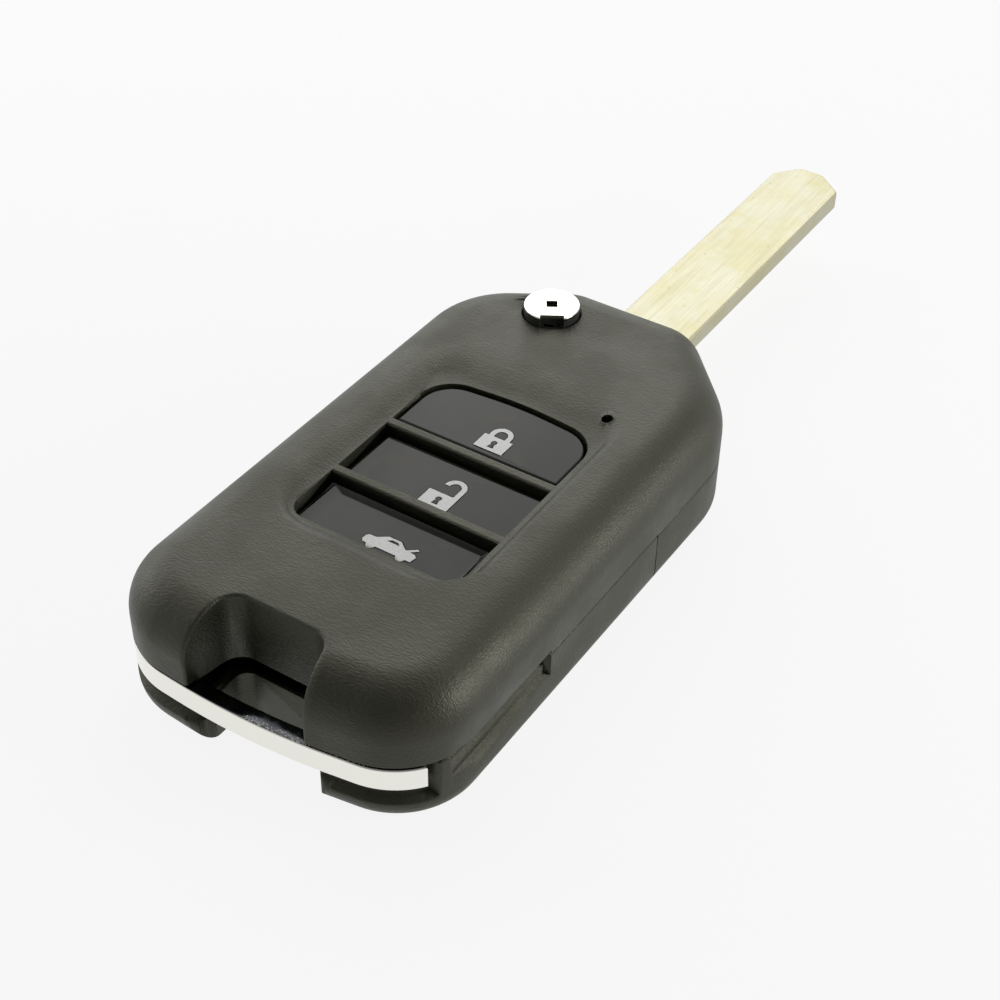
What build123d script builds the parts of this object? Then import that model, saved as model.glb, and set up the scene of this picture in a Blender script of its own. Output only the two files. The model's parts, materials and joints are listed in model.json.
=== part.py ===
from build123d import *
import os
from math import atan2, cos, hypot, pi, radians, sin, sqrt, tan

os.makedirs("parts", exist_ok=True)

# Flip key remote shell, in millimetres. The case lies on its back: +Z is up through the keys,
# +Y points along the open blade, and the origin is on the table under the middle of the case.

# Case outline, seen from above
case_width = 36.5
head_y = 34.0
tail_room = 7.3
tail_left_rise = 1.3
tail_right_rise = 2.8
head_right_side = 9.85
head_left_side = 11.95
shoulder_right_drop = 10.8
shoulder_left_drop = 7.5
tail_corner_r = 8.5
tail_straight = 1.6
shoulder_right_r = 12.0
shoulder_left_r = 11.0
head_corner_r = 5.6

# Case heights and walls
parting_z = 7.2
top_round = 5.0
bottom_round = 2.4
wall = 1.6
floor = 1.4
seam_bevel = 0.2
seam_line = 0.12
seam_line_deep = 0.5
split_y = 8.2
split_gap = 0.2

# Key window in the top, its two ribs and the shallow dish around it
window_side = 8.5
window_x = 0.35
window_back = 23.95
window_length = 25.9
window_crown = 0.9
window_low_r = 2.0
window_high_r = 4.0
window_skin = 1.6
dish_depth = 0.6
rib_width = 1.2
rib_round = 0.3
rib_drops = (8.35, 17.45)
dish_right_flat = 1.6
dish_left_flat = 0.6
dish_head = 6.4
dish_tail = 2.0
dish_corner_r = 7.0
dish_floor_r = 2.4
dish_profile = ((0, 0), (0.3, 0.48), (0.65, 0.86), (1, 1))
dish_ledge = 0.4

# Keys, their rubber pad and the frame that holds the pad
key_recess = 1.0
lock_recess = 0.3
key_gap = 0.25
key_left_gap = 0.55
key_rib_gap = 0.35
key_flange = 0.6
key_flange_thick = 0.8
key_under_gap = 0.1
key_travel = 0.5
key_rest_gap = 0.1
key_channel_gap = 1.38
key_edge = 0.2
mark_depth = 0.12
mark_proud = 0.03
trunk_dish = 0.35
trunk_rim = 0.35
trunk_bevel = 0.45
trunk_left_bevel = 1.2
pad_thick = 0.5
pad_boss = 0.3
pad_margin = 1.2
frame_thick = 0.9
frame_rim = 1.0
frame_side_gap = 0.3
frame_right_gap = 2.45
frame_low_reach = 2.4
frame_high_reach = 3.2
stake_r = 0.7
stake_inset = 1.0
stake_below = 0.2

# Signs on the keys
lock_sign_x = 1.25
sign_x = 1.1
lock_sign_rise = 2.2
unlock_sign_rise = 1.75
trunk_sign_rise = 2.35
lock_wide = 3.3
lock_tall = 2.2
lock_keyhole = 0.33
lock_skirt = 0.36
shackle_r = 1.2
shackle_wire = 0.55
shackle_leg = 0.5
shackle_lift = 0.8

# Indicator hole
lamp_x = 9.0
lamp_reach = 3.1
lamp_r = 0.6

# Pivot, turning head and blade, with the blade open
pivot_back = 8.0
blade_offset = 7.1
blade_edge = 1.05
blade_width = 9.0
blade_thick = 2.2
blade_rise = 0.2
blade_reach = 53.3
blade_bevel = 0.15
blade_seat_y = 6.3
tang_width = 4.0
tang_start_y = -0.6
arm_skin = 1.2
arm_side = 0.5
arm_back = 3.2
arm_proud = 0.6
arm_front_r = 0.8
hub_r = 6.3
turn_gap = 0.3
blade_gap = 0.22
barrel_r = 5.2
bearing_gap = 0.08
bearing_wall = 1.2
barrel_top_gap = 0.15
spring_bore_r = 2.7
button_bore_r = 4.0
pin_r = 1.0
pin_y = 3.0
pin_wall = 0.35
pin_slot = 0.4
pin_sink = 0.1
tip_slope = 3.0
tip_left = 2.4
tip_right = 3.5
tip_r = 1.1

# Release button, its spring, the plate that anchors the spring and the washer
button_r = 3.05
button_proud = 1.1
button_hole_gap = 0.08
button_travel = 2.0
button_under_gap = 0.2
button_turn = 32.0
button_flange_r = 3.9
button_flange_thick = 0.9
button_skirt = 0.6
button_cup_r = 2.35
button_roof = 1.2
button_cap_thick = 0.4
button_edge = 0.15
button_square = 1.2
button_notch_width = 2.6
button_notch_deep = 0.85
button_notch_tall = 1.4
lug_width = 1.6
lug_reach = 0.7
lug_gap = 0.1
well_gap = 0.28
well_deep = 0.6
spring_r = 1.9
spring_wire_r = 0.3
spring_pitch = 1.35
spring_gap = 0.03
plate_r = 3.0
plate_thick = 0.5
plate_foot = 3.6
plate_foot_deep = 0.6
plate_gap = 0.05
washer_hole_r = 3.3
washer_thick = 0.5
washer_inset = 0.1
washer_gap = 0.1

# Slot for the folded blade, along the left side
channel_wall = 0.9
channel_end_gap = 0.7
channel_deck = 0.9
channel_roof = 0.7
channel_side_gap = 0.3

# Slot along the right side near the tail
side_slot_below = 2.7
side_slot_above = 0.5
side_slot_start = 7.1
side_slot_length = 15.5
side_slot_back = 1.25
side_slot_rib = 1.1
side_slot_ledge = 0.5
side_slot_ledge_high = 1.0

# Key ring notch, bar and passage at the tail
notch_x = -0.4
notch_back_width = 11.0
notch_mouth_width = 13.2
notch_deep = 6.8
notch_r = 2.2
notch_wall = 1.2
notch_edge = 0.35
passage_left_x = -5.5
passage_right_x = 6.4
passage_r = 1.4
passage_wall = 1.1
passage_wall_high = 0.8
bar_tall = 2.65
bar_top_gap = 0.15
bar_deep = 1.8
bar_length = 5.0
bar_gap = 0.1
bar_edge = 0.25
bar_end_gap = 0.9
lip_gap = 1.5
lip_step = 1.0
lip_round = 2.0
ledge_deep = 3.0
bar_lug_rise = 0.6
bar_lug_thick = 1.1
bar_lug_wall = 1.2
bar_post_side = 6.55
bar_post_back = 7.5
peg_r = 1.5
peg_gap = 0.1

# Screws, from below, into posts of the upper shell
screw_right_gap = 0.5
screw_right_drop = 10.6
screw_mid_right = 6.0
screw_mid_drop = 18.4
screw_head_r = 1.9
screw_head_thick = 1.2
screw_r = 0.95
screw_length = 6.5
screw_hole_gap = 0.15
screw_sink = 0.25
screw_slot = 0.45
screw_slot_deep = 0.6
screw_cross_r = 1.1
screw_end_gap = 0.3
post_r = 2.2
boss_web = 1.55
boss_r = 2.9

# Tray for the immobiliser chip
tray_side_gap = 0.3
tray_right_gap = 2.05
tray_gap = 0.7
tray_width = 6.0
tray_height = 3.4
tray_wall = 0.8

# Tongue that holds the cover's front edge under the head part
tongue_left_x = -4.0
tongue_right_x = 10.0
tongue_reach = 2.2
tongue_thick = 0.9
tongue_gap = 0.1
tongue_root = 3.0
bay_wall_y = 12.3
bay_wall = 0.9
bay_wall_gap = 1.2

# Sizes that follow from the ones above
half_width = case_width / 2
head_right_x = half_width - head_right_side
head_left_x = head_left_side - half_width
pivot_x = -half_width + blade_edge + blade_width / 2 + blade_offset
pivot_y = head_y - pivot_back
tail_mid_y = pivot_y - blade_reach - tail_room
blade_x = pivot_x + blade_offset
blade_low_z = parting_z + blade_rise
blade_high_z = blade_low_z + blade_thick
channel_high_z = blade_high_z + blade_gap
key_low_z = channel_high_z + channel_roof + key_channel_gap
key_flange_top = key_low_z + key_flange_thick
ceiling_z = key_flange_top + key_under_gap
window_z = ceiling_z + window_skin
case_height = window_z + dish_depth
join_inset = 0.75 * wall
key_face_z = window_z - key_recess
lock_face_z = window_z - lock_recess
shoulder_right_y = head_y - shoulder_right_drop
shoulder_left_y = head_y - shoulder_left_drop
tail_left_y = tail_mid_y + tail_left_rise
tail_right_y = tail_mid_y + tail_right_rise
left_slope = atan2(tail_left_rise, half_width)
right_slope = atan2(tail_right_rise, half_width)
tail_left_length = hypot(half_width, tail_left_rise)
tail_corner_reach = tail_corner_r * tan((pi / 2 - left_slope) / 2)
tail_mid_reach = tail_left_length - tail_corner_reach - tail_straight
tail_mid_r = tail_mid_reach / tan((left_slope + right_slope) / 2)
tail_arc_reach = tail_mid_r / cos((left_slope + right_slope) / 2)
tail_arc_x = -tail_arc_reach * sin((right_slope - left_slope) / 2)
tail_arc_y = tail_mid_y + tail_arc_reach * cos((right_slope - left_slope) / 2)
window_left_x = window_side - half_width + window_x
window_right_x = half_width - window_side + window_x
window_high_y = head_y - window_back
window_low_y = window_high_y - window_length
rib_tops_y = [window_high_y - drop for drop in rib_drops]
pad_top_z = key_low_z - key_travel - key_rest_gap
frame_top_z = pad_top_z - pad_boss - pad_thick
frame_low_z = frame_top_z - frame_thick
lamp_y = window_high_y + lamp_reach
arm_low_z = blade_low_z - arm_skin
arm_high_z = blade_high_z + arm_skin
arm_front = pivot_back + arm_proud
arm_right = blade_offset + blade_width / 2 + arm_side
folded_inner_x = pivot_x - blade_offset + blade_width / 2
channel_x = folded_inner_x + channel_side_gap
channel_end_y = pivot_y - blade_reach - channel_end_gap
barrel_low_z = floor + washer_thick + washer_gap
barrel_high_z = ceiling_z - barrel_top_gap
button_flange_top = ceiling_z - key_under_gap
button_low_z = button_flange_top - button_flange_thick - button_skirt
button_bore_z = button_low_z - button_travel - button_under_gap
button_top_z = case_height + button_proud
button_roof_z = button_top_z - button_roof
button_cap_z = button_top_z - button_cap_thick
well_floor_z = case_height - well_deep
side_slot_low_z = parting_z - side_slot_below
side_slot_high_z = parting_z + side_slot_above
side_slot_start_y = tail_mid_y + side_slot_start
side_slot_end_y = side_slot_start_y + side_slot_length
notch_back_y = tail_mid_y + notch_deep
bar_high_z = parting_z - bar_top_gap
bar_low_z = bar_high_z - bar_tall
bar_end_y = tail_mid_y + bar_length
bar_post_x = half_width - bar_post_side
bar_post_y = tail_mid_y + bar_post_back
lip_top_z = bar_low_z - lip_gap
passage_wall_z = bar_low_z + passage_wall_high
lug_low_z = bar_low_z + bar_lug_rise
lug_high_z = lug_low_z + bar_lug_thick
screw_right_x = pivot_x + arm_right + turn_gap + screw_right_gap + boss_r
screw_mid_x = pivot_x + screw_mid_right
screw_places = (
    (screw_right_x, head_y - screw_right_drop),
    (screw_mid_x, head_y - screw_mid_drop),
)
post_low_z = screw_sink + screw_head_thick + boss_web
bay_wall_top_z = parting_z - bay_wall_gap
tray_x = screw_mid_x + boss_r + tray_side_gap
tray_length = half_width - wall - tray_right_gap - tray_x
tray_y = bay_wall_y + bay_wall + tray_gap
frame_left_x = channel_x + channel_wall + frame_side_gap
frame_right_x = half_width - wall - frame_right_gap
frame_low_y = window_low_y - frame_low_reach
frame_high_y = window_high_y + frame_high_reach
stake_places = [
    (x, y)
    for x in (frame_left_x + stake_inset, frame_right_x - stake_inset)
    for y in (frame_low_y + stake_inset, frame_high_y - stake_inset)
]
lug_turn = button_turn + 90
tang_start = pivot_y + tang_start_y
blade_seat = pivot_y + blade_seat_y
blade_tip = pivot_y + blade_reach
far = 60.0


def case_plan(inset=0.0):
    # the case's outline, or the same outline drawn a distance inside it
    with BuildSketch() as plan:
        with BuildLine():
            FilletPolyline(
                (-half_width, tail_left_y),
                (0, tail_mid_y),
                (half_width, tail_right_y),
                (half_width, shoulder_right_y),
                (head_right_x, head_y),
                (head_left_x, head_y),
                (-half_width, shoulder_left_y),
                radius=(
                    tail_corner_r,
                    tail_mid_r,
                    tail_corner_r,
                    shoulder_right_r,
                    head_corner_r,
                    head_corner_r,
                    shoulder_left_r,
                ),
                close=True,
            )
        make_face()
        if inset > 0:
            offset(amount=-inset)
    return plan.sketch


def plan_patch(x_low, x_high, y_low, y_high, inset=0.0):
    # the part of the case's outline that lies inside a rectangle
    with BuildSketch() as patch:
        add(case_plan(inset))
        with Locations(((x_low + x_high) / 2, (y_low + y_high) / 2)):
            Rectangle(x_high - x_low, y_high - y_low, mode=Mode.INTERSECT)
    return patch.sketch


def plan_band(outer, inner, y_high):
    # the band between two insets of the outline, at the tail
    with BuildSketch() as band:
        add(plan_patch(-far, far, -far, y_high, outer))
        add(case_plan(inner), mode=Mode.SUBTRACT)
    return band.sketch


def plan_block(inset, z_low, z_high, top_r=0.0, bottom_r=0.0):
    # a block with the case's outline and rounded top or bottom edges
    with BuildPart() as block:
        with BuildSketch(Plane.XY.offset(z_low)):
            add(case_plan(inset))
        extrude(amount=z_high - z_low)
        if top_r > 0:
            fillet(block.faces().sort_by(Axis.Z)[-1].edges(), radius=top_r)
        if bottom_r > 0:
            fillet(block.faces().sort_by(Axis.Z)[0].edges(), radius=bottom_r)
    return block.part


def window_plan(grow=0.0):
    # the key window, with its gently arched head end
    crown_r = 2 * (window_right_x - window_left_x)
    with BuildSketch() as plan:
        with BuildLine():
            FilletPolyline(
                (window_left_x, window_low_y),
                (window_right_x, window_low_y),
                (window_right_x, window_high_y),
                (window_x, window_high_y + window_crown),
                (window_left_x, window_high_y),
                radius=(window_low_r, window_low_r, window_high_r, crown_r, window_high_r),
                close=True,
            )
        make_face()
        if grow != 0:
            offset(amount=grow)
    return plan.sketch


def sweep_plan(gap):
    # all that the turning head passes over inside the case, from open to folded
    with BuildSketch() as plan:
        right = pivot_x + arm_right + gap
        back = pivot_y - arm_back - gap
        with Locations(((right - far) / 2, (back + far) / 2)):
            Rectangle(right + far, far - back)
        folded_back = pivot_y - arm_front - gap
        with Locations(((pivot_x + gap - far) / 2, (folded_back + far) / 2)):
            Rectangle(pivot_x + gap + far, far - folded_back)
        with Locations((pivot_x, pivot_y)):
            Circle(hub_r + gap)
    return plan.sketch


def block(x_low, x_high, y_low, y_high, z_low, z_high, mode=Mode.ADD):
    # a plain block given by its limits, inside the part being built
    with BuildSketch(Plane.XY.offset(z_low)) as base:
        with Locations(((x_low + x_high) / 2, (y_low + y_high) / 2)):
            Rectangle(x_high - x_low, y_high - y_low)
    extrude(base.sketch, amount=z_high - z_low, mode=mode)


def disc(x, y, radius, z_low, z_high, mode=Mode.ADD):
    # a round post or hole given by its limits, inside the part being built
    with BuildSketch(Plane.XY.offset(z_low)) as base:
        with Locations((x, y)):
            Circle(radius)
    extrude(base.sketch, amount=z_high - z_low, mode=mode)


def patch_block(patch, z_low, z_high, mode=Mode.ADD):
    # a drawn patch raised between two heights, inside the part being built
    with BuildSketch(Plane.XY.offset(z_low)) as base:
        add(patch)
    extrude(base.sketch, amount=z_high - z_low, mode=mode)


def screw_boss(x, y):
    # a hollow boss on the floor, sunk from below for the screw's head
    disc(x, y, boss_r, floor / 2, post_low_z)
    disc(x, y, screw_r + screw_hole_gap, 0, post_low_z, Mode.SUBTRACT)
    disc(x, y, screw_head_r + screw_hole_gap, 0, screw_sink + screw_head_thick, Mode.SUBTRACT)


def screw_post(x, y, low_z):
    # a post under the roof with the hole that the screw cuts its thread in
    disc(x, y, post_r, low_z, ceiling_z)
    disc(x, y, screw_r, low_z, screw_sink + screw_head_thick + screw_length, Mode.SUBTRACT)


with BuildSketch() as notch_plan:
    # the key ring notch, open at the tail
    with BuildLine():
        Polyline(
            (notch_x - notch_mouth_width / 2, -far),
            (notch_x - notch_mouth_width / 2, tail_mid_y),
            (notch_x - notch_back_width / 2, notch_back_y),
            (notch_x + notch_back_width / 2, notch_back_y),
            (notch_x + notch_mouth_width / 2, tail_mid_y),
            (notch_x + notch_mouth_width / 2, -far),
            close=True,
        )
    make_face()
    fillet(notch_plan.vertices().group_by(Axis.Y)[-1], radius=notch_r)

# Upper shell: one moulding with the window, ribs, notch, button well and posts
upper_body = plan_block(0, parting_z, case_height, top_r=top_round)
upper_hollow = plan_block(wall, parting_z - wall, ceiling_z, top_r=wall)

with BuildPart() as upper_shell:
    add(upper_body)
    patch_block(notch_plan.sketch, parting_z, case_height, Mode.SUBTRACT)
    top_edges = edges().filter_by(lambda e: e.bounding_box().min.Z > window_z)
    top_edges = top_edges.filter_by(lambda e: abs(e.center().X - notch_x) < notch_mouth_width / 2)
    fillet(top_edges.filter_by(lambda e: e.center().Y < notch_back_y + notch_edge), radius=notch_edge)
    chamfer(faces().sort_by(Axis.Z)[0].edges(), length=seam_bevel)
    # shadow line along the seam
    patch_block(
        plan_band(0, seam_line_deep, far), parting_z, parting_z + seam_line, Mode.SUBTRACT
    )
    # dish: a wide soft mouth at the top that narrows to the edge of the window
    dish_floor = (
        window_left_x - dish_ledge,
        window_right_x + dish_ledge,
        window_low_y - dish_ledge,
        window_high_y + window_crown + dish_ledge,
    )
    dish_mouth = (
        top_round + dish_left_flat - half_width,
        half_width - top_round - dish_right_flat,
        window_low_y - dish_tail,
        window_high_y + window_crown + dish_head,
    )
    for share, rise in dish_profile:
        x_low, x_high, y_low, y_high = [
            floor_edge + share * (mouth_edge - floor_edge)
            for floor_edge, mouth_edge in zip(dish_floor, dish_mouth)
        ]
        with BuildSketch(Plane.XY.offset(window_z + rise * dish_depth)):
            with Locations(((x_low + x_high) / 2, (y_low + y_high) / 2)):
                RectangleRounded(
                    x_high - x_low,
                    y_high - y_low,
                    radius=dish_floor_r + share * (dish_corner_r - dish_floor_r),
                )
    loft(mode=Mode.SUBTRACT)
    # hollow inside
    add(upper_hollow, mode=Mode.SUBTRACT)
    # roof and inner wall of the folded blade's slot
    patch_block(
        plan_patch(-far, channel_x + channel_wall, channel_end_y - wall, pivot_y, wall / 2),
        channel_high_z,
        channel_high_z + channel_roof,
    )
    block(
        channel_x,
        channel_x + channel_wall,
        channel_end_y - wall,
        pivot_y,
        parting_z,
        channel_high_z + channel_roof,
    )
    patch_block(
        plan_patch(-far, channel_x, channel_end_y - wall, channel_end_y, wall / 2),
        parting_z,
        channel_high_z,
    )
    # wall around the key ring notch
    surround = notch_mouth_width / 2 + notch_wall
    patch_block(
        plan_patch(
            notch_x - surround,
            notch_x + surround,
            -far,
            notch_back_y + notch_wall,
            join_inset,
        ),
        parting_z,
        ceiling_z,
    )
    # ring that guides the top of the turning head's barrel
    disc(pivot_x, pivot_y, barrel_r + bearing_gap + bearing_wall, arm_high_z, ceiling_z)
    # room for the turning head
    patch_block(sweep_plan(turn_gap), 0, arm_high_z + turn_gap, Mode.SUBTRACT)
    disc(pivot_x, pivot_y, barrel_r + bearing_gap, arm_high_z, ceiling_z, Mode.SUBTRACT)
    # mouth of the blade's slot in the left side
    block(-far, channel_x, channel_end_y, pivot_y, parting_z, channel_high_z, Mode.SUBTRACT)
    # screw posts, and the post that also holds the key ring bar
    for x, y in screw_places:
        screw_post(x, y, post_low_z)
    screw_post(bar_post_x, bar_post_y, post_low_z)
    # stakes that carry the frame under the keys
    for x, y in stake_places:
        disc(x, y, stake_r, frame_low_z - stake_below, ceiling_z)
    # window through the roof, then the two ribs across it
    patch_block(window_plan(), ceiling_z, window_z, Mode.SUBTRACT)
    for rib_y in rib_tops_y:
        with BuildSketch(Plane.YZ.offset(window_left_x)) as rib:
            with Locations((rib_y - rib_width / 2, (ceiling_z + window_z) / 2)):
                Rectangle(rib_width, window_z - ceiling_z)
            fillet(rib.vertices().group_by(Axis.Y)[-1], radius=rib_round)
        extrude(amount=window_right_x - window_left_x)
    patch_block(notch_plan.sketch, parting_z, ceiling_z, Mode.SUBTRACT)
    # button well, with a shallow recess around the button
    disc(pivot_x, pivot_y, button_r + button_hole_gap, ceiling_z, case_height, Mode.SUBTRACT)
    disc(pivot_x, pivot_y, button_r + well_gap, well_floor_z, case_height, Mode.SUBTRACT)
    # indicator hole
    disc(lamp_x, lamp_y, lamp_r, ceiling_z, case_height, Mode.SUBTRACT)
    # upper edge of the slot in the right side
    block(
        half_width - side_slot_back,
        far,
        side_slot_start_y,
        side_slot_end_y,
        parting_z,
        side_slot_high_z,
        Mode.SUBTRACT,
    )


# Lower half of the case, which is moulded as a head part and a rear cover
lower_body = plan_block(0, 0, parting_z, bottom_r=bottom_round)
lower_hollow = plan_block(wall, floor, parting_z + wall, bottom_r=bottom_round - wall)

# Head part of the lower half: it carries the bottom of the turning head
with BuildPart() as lower_shell:
    add(lower_body)
    chamfer(faces().sort_by(Axis.Z)[-1].edges(), length=seam_bevel)
    add(lower_hollow, mode=Mode.SUBTRACT)
    # floor and inner wall of the folded blade's slot
    patch_block(
        plan_patch(-far, channel_x + channel_wall, 0, pivot_y, wall / 2),
        parting_z - channel_deck,
        parting_z,
    )
    block(channel_x, channel_x + channel_wall, 0, pivot_y, floor / 2, parting_z)
    # wall between the board bay and the head
    block(
        channel_x,
        half_width - wall / 2,
        bay_wall_y,
        bay_wall_y + bay_wall,
        floor,
        bay_wall_top_z,
    )
    # bearing for the barrel
    disc(
        pivot_x,
        pivot_y,
        barrel_r + bearing_gap + bearing_wall,
        floor / 2,
        arm_low_z - turn_gap,
    )
    patch_block(sweep_plan(turn_gap), arm_low_z - turn_gap, case_height, Mode.SUBTRACT)
    disc(pivot_x, pivot_y, barrel_r + bearing_gap, floor, case_height, Mode.SUBTRACT)
    # square pocket that keeps the spring plate from turning
    foot = plate_foot / 2 + plate_gap
    block(
        pivot_x - foot,
        pivot_x + foot,
        pivot_y - foot,
        pivot_y + foot,
        floor - plate_foot_deep,
        floor,
        Mode.SUBTRACT,
    )
    for x, y in screw_places:
        screw_boss(x, y)
    block(-far, far, -far, split_y + split_gap / 2, -far, far, Mode.SUBTRACT)


def lip_trim(x, side):
    # what is cut from the end of a lip to round it; side is the way the lip points
    round_x = x + side * lip_round
    drop = (tail_mid_r - lip_round) ** 2 - (round_x - tail_arc_x) ** 2
    round_y = tail_arc_y - sqrt(drop)
    with BuildSketch() as trim:
        with Locations(((x + round_x) / 2, round_y - lip_round)):
            Rectangle(lip_round, 2 * lip_round)
        with Locations((round_x, round_y)):
            Circle(lip_round, mode=Mode.SUBTRACT)
    return trim.sketch


# Rear cover: the battery side of the case, with the lips under the key ring bar
with BuildPart() as rear_cover:
    add(lower_body)
    chamfer(faces().sort_by(Axis.Z)[-1].edges(), length=seam_bevel)
    add(lower_hollow, mode=Mode.SUBTRACT)
    # floor and inner wall of the folded blade's slot
    patch_block(
        plan_patch(-far, channel_x + channel_wall, channel_end_y, pivot_y, wall / 2),
        parting_z - channel_deck,
        parting_z,
    )
    block(channel_x, channel_x + channel_wall, channel_end_y, pivot_y, floor / 2, parting_z)
    # thicker wall behind the slot in the right side, then the slot with its ledge
    patch_block(
        plan_patch(
            half_width - side_slot_back - side_slot_rib,
            far,
            side_slot_start_y - wall,
            side_slot_end_y + wall,
            wall / 2,
        ),
        floor,
        parting_z,
    )
    for slot_back, slot_low_z in (
        (side_slot_back - side_slot_ledge, side_slot_low_z),
        (side_slot_back, side_slot_low_z + side_slot_ledge_high),
    ):
        block(
            half_width - slot_back,
            far,
            side_slot_start_y,
            side_slot_end_y,
            slot_low_z,
            parting_z,
            Mode.SUBTRACT,
        )
    # ledge that the key ring bar stands on
    patch_block(plan_band(wall / 2, ledge_deep, bar_end_y + wall), floor, bar_low_z)
    # walls of the passage that the key ring goes through
    patch_block(
        plan_patch(
            passage_left_x - passage_wall,
            passage_right_x + passage_wall,
            -far,
            notch_back_y + passage_wall,
            wall / 2,
        ),
        floor,
        passage_wall_z,
    )
    # seat of the bar, and the step between the bar and the lips
    patch_block(
        plan_band(0, bar_deep + bar_gap, bar_end_y + bar_gap), bar_low_z, far, Mode.SUBTRACT
    )
    patch_block(plan_band(0, lip_step, bar_end_y + bar_end_gap), lip_top_z, far, Mode.SUBTRACT)
    with BuildSketch() as passage:
        with Locations(((passage_left_x + passage_right_x) / 2, (notch_back_y - far) / 2)):
            Rectangle(passage_right_x - passage_left_x, far + notch_back_y)
        fillet(passage.vertices().group_by(Axis.Y)[-1], radius=passage_r)
    extrude(amount=parting_z, mode=Mode.SUBTRACT)
    # rounded ends of the lips, beside the passage
    patch_block(lip_trim(passage_left_x, -1), 0, bar_low_z, Mode.SUBTRACT)
    patch_block(lip_trim(passage_right_x, 1), 0, bar_low_z, Mode.SUBTRACT)
    screw_boss(bar_post_x, bar_post_y)
    # peg for the bar's other lug
    disc(-bar_post_x, bar_post_y, peg_r, floor / 2, parting_z - bar_gap)
    # tongue under the head part
    block(-far, far, split_y - split_gap / 2, far, -far, far, Mode.SUBTRACT)
    tongue_low_z = floor + tongue_gap
    block(
        tongue_left_x,
        tongue_right_x,
        split_y - tongue_root,
        split_y - split_gap / 2,
        floor / 2,
        tongue_low_z + tongue_thick,
    )
    block(
        tongue_left_x,
        tongue_right_x,
        split_y - tongue_root,
        split_y + tongue_reach,
        tongue_low_z,
        tongue_low_z + tongue_thick,
    )

# Key ring bar: a plated band round the tail with a lug for the screw post and one for the peg
with BuildPart() as key_ring_bar:
    patch_block(plan_band(0, bar_deep, bar_end_y), bar_low_z, bar_high_z)
    fillet(edges().group_by(Axis.Z)[-1], radius=bar_edge)
    fillet(edges().group_by(Axis.Z)[0], radius=bar_edge)
    for x, hole_r in ((bar_post_x, post_r + peg_gap), (-bar_post_x, peg_r + peg_gap)):
        lug_r = hole_r + bar_lug_wall
        patch_block(
            plan_patch(x - hole_r, x + hole_r, -far, bar_post_y, bar_deep / 2),
            lug_low_z,
            lug_high_z,
        )
        disc(x, bar_post_y, lug_r, lug_low_z, lug_high_z)
        disc(x, bar_post_y, hole_r, lug_low_z, lug_high_z, Mode.SUBTRACT)

# Turning head: barrel, arm, bores for the spring and button, and the slot for the blade
with BuildPart() as flip_head:
    disc(pivot_x, pivot_y, barrel_r, barrel_low_z, barrel_high_z)
    with BuildSketch(Plane.XY.offset(arm_low_z)) as arm:
        with Locations((pivot_x + arm_right / 2, pivot_y + (arm_front - arm_back) / 2)):
            Rectangle(arm_right, arm_front + arm_back)
        right_corners = arm.vertices().group_by(Axis.X)[-1].sort_by(Axis.Y)
        fillet(right_corners[0], radius=arm_back)
        front_corners = arm.vertices().group_by(Axis.Y)[-1]
        fillet(front_corners, radius=arm_front_r)
        with Locations((pivot_x, pivot_y)):
            Circle(hub_r)
    extrude(amount=arm_high_z - arm_low_z)
    disc(pivot_x, pivot_y, spring_bore_r, barrel_low_z, barrel_high_z, Mode.SUBTRACT)
    disc(pivot_x, pivot_y, button_bore_r, button_bore_z, barrel_high_z, Mode.SUBTRACT)
    # grooves that the button's two lugs slide in
    with BuildSketch(Plane.XY.offset(button_bore_z)):
        with Locations((pivot_x, pivot_y)):
            Rectangle(
                2 * (button_flange_r + lug_reach + lug_gap),
                lug_width + 2 * lug_gap,
                rotation=lug_turn,
            )
    extrude(amount=barrel_high_z - button_bore_z, mode=Mode.SUBTRACT)
    # slot for the blade and its narrower tang
    block(
        blade_x - blade_width / 2,
        blade_x + blade_width / 2,
        blade_seat,
        far,
        blade_low_z,
        blade_high_z,
        Mode.SUBTRACT,
    )
    block(
        blade_x - tang_width / 2,
        blade_x + tang_width / 2,
        tang_start,
        blade_seat,
        blade_low_z,
        blade_high_z,
        Mode.SUBTRACT,
    )
    disc(blade_x, pivot_y + pin_y, pin_r, arm_low_z, arm_high_z, Mode.SUBTRACT)

# Blade: an uncut flat blank with a chamfered tip and a narrower tang
with BuildPart() as blade:
    with BuildSketch(Plane.XY.offset(blade_low_z)) as blank:
        with BuildLine():
            Polyline(
                (blade_x - tang_width / 2, tang_start),
                (blade_x + tang_width / 2, tang_start),
                (blade_x + tang_width / 2, blade_seat),
                (blade_x + blade_width / 2, blade_seat),
                (blade_x + blade_width / 2, blade_tip - tip_slope),
                (blade_x + blade_width / 2 - tip_right, blade_tip),
                (blade_x - blade_width / 2 + tip_left, blade_tip),
                (blade_x - blade_width / 2, blade_tip - tip_slope),
                (blade_x - blade_width / 2, blade_seat),
                (blade_x - tang_width / 2, blade_seat),
                close=True,
            )
        make_face()
        tip_corners = blank.vertices().filter_by(lambda v: v.Y > blade_tip - 2 * tip_slope)
        fillet(tip_corners, radius=tip_r)
    extrude(amount=blade_thick)
    long_edges = edges().filter_by(lambda e: e.center().Y > blade_seat + far / 10)
    chamfer(long_edges.group_by(Axis.Z)[-1] + long_edges.group_by(Axis.Z)[0], length=blade_bevel)
    disc(blade_x, pivot_y + pin_y, pin_r, blade_low_z, blade_high_z, Mode.SUBTRACT)

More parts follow.
